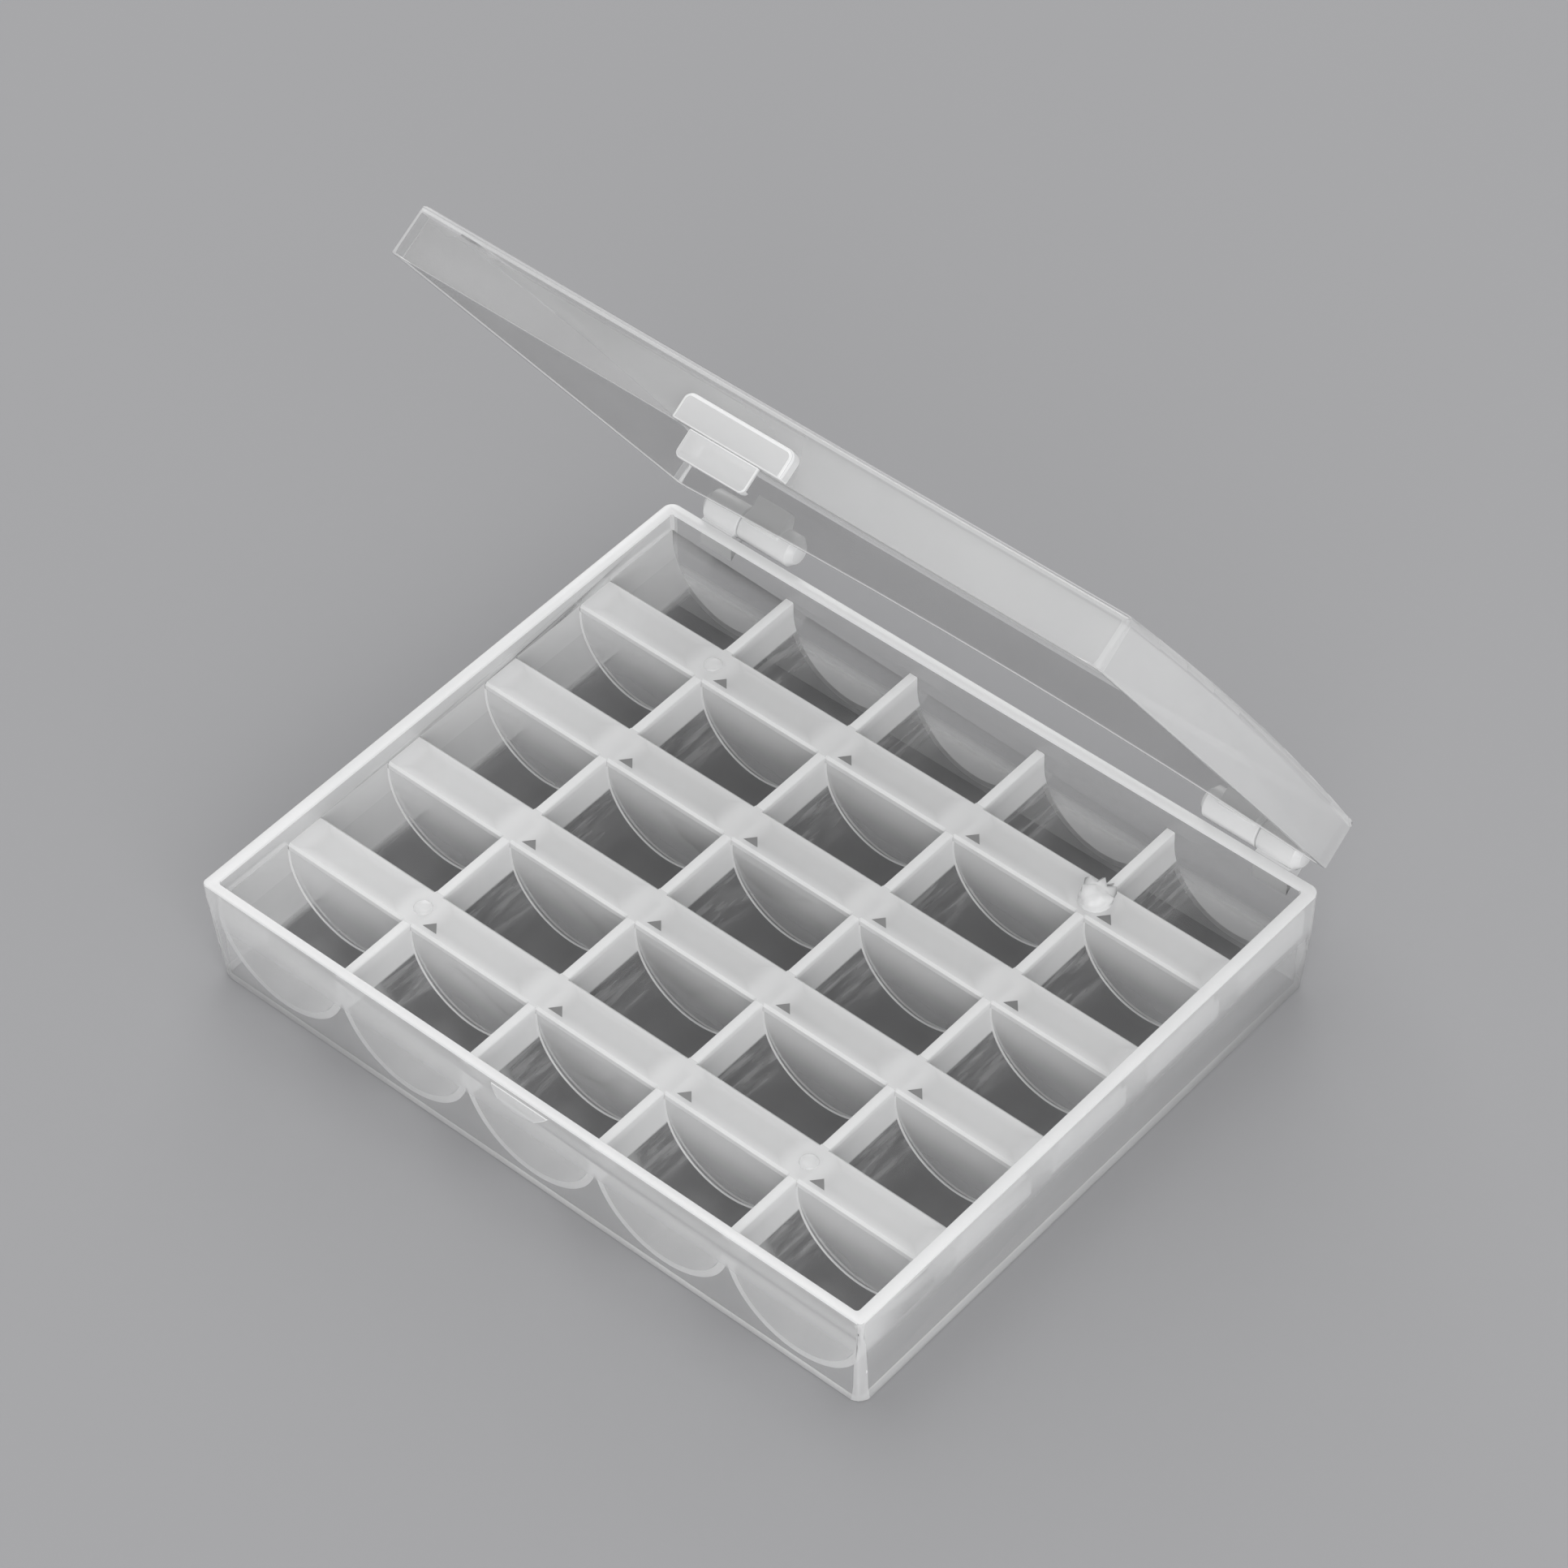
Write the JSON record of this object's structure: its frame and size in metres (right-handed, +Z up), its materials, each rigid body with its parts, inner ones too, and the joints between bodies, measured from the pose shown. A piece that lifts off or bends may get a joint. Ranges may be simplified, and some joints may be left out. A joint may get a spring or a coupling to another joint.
{
  "type": "bobbin storage box",
  "caption": "Shallow hinged storage box in frosted clear plastic, with round-bottomed compartments in a grid for sewing machine bobbins, an arched lid and a snap latch.",
  "frame": {"origin": "middle of the tray's footprint, at table level", "axes": "+X to the right along the hinge, +Y from the latch side to the hinge side, +Z up"},
  "size_m": [0.12, 0.1067, 0.1086],
  "materials": {
    "tray_plastic": "frosted translucent polypropylene",
    "cradle_plastic": "frosted translucent polypropylene, thin sheet",
    "bar_plastic": "frosted translucent polypropylene",
    "hinge_plastic": "frosted translucent polypropylene",
    "pin_plastic": "frosted translucent polypropylene",
    "lid_plastic": "frosted translucent polypropylene",
    "latch_plastic": "frosted translucent polypropylene"
  },
  "bodies": {
    "tray": {"tray_shell": "tray_plastic", "compartment_row_1": "cradle_plastic", "compartment_row_2": "cradle_plastic", "compartment_row_3": "cradle_plastic", "compartment_row_4": "cradle_plastic", "compartment_row_5": "cradle_plastic", "divider_bar_1": "bar_plastic", "divider_bar_2": "bar_plastic", "divider_bar_3": "bar_plastic", "divider_bar_4": "bar_plastic", "latch_catch": "tray_plastic", "left_hinge_bracket": "hinge_plastic", "right_hinge_bracket": "hinge_plastic", "left_hinge_pin": "pin_plastic", "right_hinge_pin": "pin_plastic"},
    "lid": {"lid_shell": "lid_plastic", "left_lid_knuckle": "hinge_plastic", "right_lid_knuckle": "hinge_plastic", "latch_plate": "latch_plastic"},
    "latch": {"latch_tongue": "latch_plastic"}
  },
  "joints": [
    {"name": "lid_hinge", "type": "hinge", "parent": "tray", "child": "lid", "pos_m": [0, 0.0524, 0.0197], "axis": [-1, 0, 0], "range_deg": [-57, 123]},
    {"name": "latch_flex", "type": "hinge", "parent": "lid", "child": "latch", "pos_m": [0, -0.00443, 0.10656], "axis": [-1, 0, 0], "range_deg": [0, 12], "stiffness_Nm_per_rad": 0.05}
  ]
}
